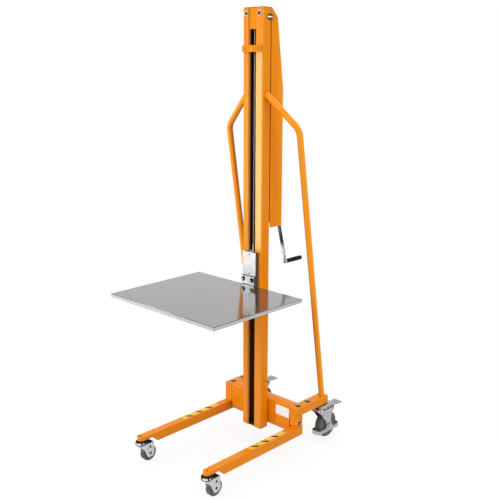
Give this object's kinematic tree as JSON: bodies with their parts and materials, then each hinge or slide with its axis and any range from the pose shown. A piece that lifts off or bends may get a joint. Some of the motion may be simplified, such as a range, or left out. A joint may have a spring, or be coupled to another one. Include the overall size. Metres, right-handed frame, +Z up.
{
  "type": "winch lift",
  "caption": "Mobile hand winch lift with a slotted mast, a sheet platform on a roller carriage, a covered winch with a crank, bent push handles and castors.",
  "frame": {"origin": "middle of the bounding box in X and Y, on the floor", "axes": "+Z up, -Y the front where the legs and the platform reach out, +X the right side seen from the front"},
  "size_m": [0.65, 0.9486, 2],
  "materials": {
    "orange_paint": "satin powder coat",
    "bright_sheet": "bright cold-rolled",
    "cast_aluminium": "milled",
    "zinc_steel": "zinc plated",
    "dark_chrome": "polished",
    "steel": "machined",
    "wire_rope": "stranded wire",
    "grey_rubber": "matte",
    "black_grip": "moulded",
    "black_nylon": "moulded"
  },
  "bodies": {
    "chassis": {"mast": "orange_paint", "mast_cap": "orange_paint", "head_insert": "orange_paint", "stop_bar": "orange_paint", "winch_cover": "orange_paint", "pulley_axle": "zinc_steel", "mast_spacer": "orange_paint", "cross_beam": "orange_paint", "rear_arm_left": "orange_paint", "rear_arm_right": "orange_paint", "leg_bracket_left": "orange_paint", "leg_bracket_right": "orange_paint", "leg_left": "orange_paint", "leg_right": "orange_paint", "side_bolt_left": "zinc_steel", "side_bolt_right": "zinc_steel", "arm_bolt_left_1": "zinc_steel", "arm_bolt_left_2": "zinc_steel", "arm_bolt_right_1": "zinc_steel", "arm_bolt_right_2": "zinc_steel", "handle_left": "orange_paint", "handle_right": "orange_paint", "winch_frame": "zinc_steel", "lift_rope_front": "wire_rope", "lift_rope_rear": "wire_rope", "front_stem_left": "zinc_steel", "front_stem_right": "zinc_steel", "rear_plate_left": "zinc_steel", "rear_plate_right": "zinc_steel"},
    "carriage": {"carriage_core": "steel", "carriage_block": "cast_aluminium", "platform_bracket": "cast_aluminium", "bracket_bolt_left": "zinc_steel", "bracket_bolt_right": "zinc_steel", "rope_ferrule": "zinc_steel", "platform_frame": "zinc_steel", "platform": "bright_sheet"},
    "upper_left_guide": {"upper_roller_left": "black_nylon"},
    "upper_right_guide": {"upper_roller_right": "black_nylon"},
    "lower_left_guide": {"lower_roller_left": "black_nylon"},
    "lower_right_guide": {"lower_roller_right": "black_nylon"},
    "pulley": {"head_pulley": "steel"},
    "winch_drum": {"rope_drum": "steel", "drum_gear": "steel"},
    "winch_crank": {"pinion_shaft": "steel", "crank_arm": "steel"},
    "grip": {"crank_grip": "black_grip"},
    "front_left_swivel": {"front_fork_left": "dark_chrome"},
    "front_right_swivel": {"front_fork_right": "dark_chrome"},
    "front_left_roller": {"front_wheel_left": "grey_rubber"},
    "front_right_roller": {"front_wheel_right": "grey_rubber"},
    "rear_left_swivel": {"rear_fork_left": "zinc_steel", "foot_guard_left": "zinc_steel"},
    "rear_right_swivel": {"rear_fork_right": "zinc_steel", "foot_guard_right": "zinc_steel"},
    "rear_left_roller": {"rear_wheel_left": "grey_rubber"},
    "rear_right_roller": {"rear_wheel_right": "grey_rubber"},
    "left_pedal": {"brake_pedal_left": "zinc_steel"},
    "right_pedal": {"brake_pedal_right": "zinc_steel"}
  },
  "joints": [
    {"name": "carriage_lift", "type": "slide", "parent": "chassis", "child": "carriage", "axis": [0, 0, 1], "range_m": [-0.62, 0.865], "deforming": ["lift_rope_front"]},
    {"name": "drum_spin", "type": "hinge", "parent": "chassis", "child": "winch_drum", "pos_m": [0, 0.1501, 1.128], "axis": [0, 1, 0], "range_deg": [-1400, 1900]},
    {"name": "crank_spin", "type": "hinge", "parent": "chassis", "child": "winch_crank", "pos_m": [0, 0.2423, 1.08], "axis": [0, 1, 0], "range_deg": [-5600, 4000]},
    {"name": "grip_spin", "type": "hinge", "parent": "winch_crank", "child": "grip", "pos_m": [0.05105, 0.2503, 0.87218], "axis": [0, 1, 0], "continuous": true},
    {"name": "pulley_spin", "type": "hinge", "parent": "chassis", "child": "pulley", "pos_m": [0, 0.1188, 1.96], "axis": [1, 0, 0], "range_deg": [-1650, 1200]},
    {"name": "upper_left_roll", "type": "hinge", "parent": "carriage", "child": "upper_left_guide", "pos_m": [-0.0245, 0.1013, 0.92], "axis": [1, 0, 0], "range_deg": [-1750, 2400]},
    {"name": "upper_right_roll", "type": "hinge", "parent": "carriage", "child": "upper_right_guide", "pos_m": [0.0245, 0.1013, 0.92], "axis": [1, 0, 0], "range_deg": [-1750, 2400]},
    {"name": "lower_left_roll", "type": "hinge", "parent": "carriage", "child": "lower_left_guide", "pos_m": [-0.0245, 0.1013, 0.825], "axis": [1, 0, 0], "range_deg": [-2400, 1750]},
    {"name": "lower_right_roll", "type": "hinge", "parent": "carriage", "child": "lower_right_guide", "pos_m": [0.0245, 0.1013, 0.825], "axis": [1, 0, 0], "range_deg": [-2400, 1750]},
    {"name": "front_left_castor_swivel", "type": "hinge", "parent": "chassis", "child": "front_left_swivel", "pos_m": [-0.218, -0.4177, 0.09], "axis": [0, 0, 1], "continuous": true},
    {"name": "front_right_castor_swivel", "type": "hinge", "parent": "chassis", "child": "front_right_swivel", "pos_m": [0.218, -0.4177, 0.09], "axis": [0, 0, 1], "continuous": true},
    {"name": "front_left_wheel_roll", "type": "hinge", "parent": "front_left_swivel", "child": "front_left_roller", "pos_m": [-0.218, -0.3797, 0.0375], "axis": [1, 0, 0], "continuous": true},
    {"name": "front_right_wheel_roll", "type": "hinge", "parent": "front_right_swivel", "child": "front_right_roller", "pos_m": [0.218, -0.3797, 0.0375], "axis": [1, 0, 0], "continuous": true},
    {"name": "rear_left_castor_swivel", "type": "hinge", "parent": "chassis", "child": "rear_left_swivel", "pos_m": [-0.212, 0.3383, 0.165], "axis": [0, 0, 1], "continuous": true},
    {"name": "rear_right_castor_swivel", "type": "hinge", "parent": "chassis", "child": "rear_right_swivel", "pos_m": [0.212, 0.3383, 0.165], "axis": [0, 0, 1], "continuous": true},
    {"name": "rear_left_wheel_roll", "type": "hinge", "parent": "rear_left_swivel", "child": "rear_left_roller", "pos_m": [-0.212, 0.3763, 0.0625], "axis": [1, 0, 0], "continuous": true},
    {"name": "rear_right_wheel_roll", "type": "hinge", "parent": "rear_right_swivel", "child": "rear_right_roller", "pos_m": [0.212, 0.3763, 0.0625], "axis": [1, 0, 0], "continuous": true},
    {"name": "left_brake_press", "type": "hinge", "parent": "rear_left_swivel", "child": "left_pedal", "pos_m": [-0.212, 0.4043, 0.1477], "axis": [1, 0, 0], "range_deg": [-12, 0]},
    {"name": "right_brake_press", "type": "hinge", "parent": "rear_right_swivel", "child": "right_pedal", "pos_m": [0.212, 0.4043, 0.1477], "axis": [1, 0, 0], "range_deg": [-12, 0]}
  ],
  "couplings": [
    {"joint": "drum_spin", "follows": "carriage_lift", "rad_per_m": 36.63},
    {"joint": "crank_spin", "follows": "carriage_lift", "rad_per_m": -109.89},
    {"joint": "pulley_spin", "follows": "carriage_lift", "rad_per_m": -31.746},
    {"joint": "upper_left_roll", "follows": "carriage_lift", "rad_per_m": 46.512},
    {"joint": "upper_right_roll", "follows": "carriage_lift", "rad_per_m": 46.512},
    {"joint": "lower_left_roll", "follows": "carriage_lift", "rad_per_m": -46.512},
    {"joint": "lower_right_roll", "follows": "carriage_lift", "rad_per_m": -46.512}
  ]
}
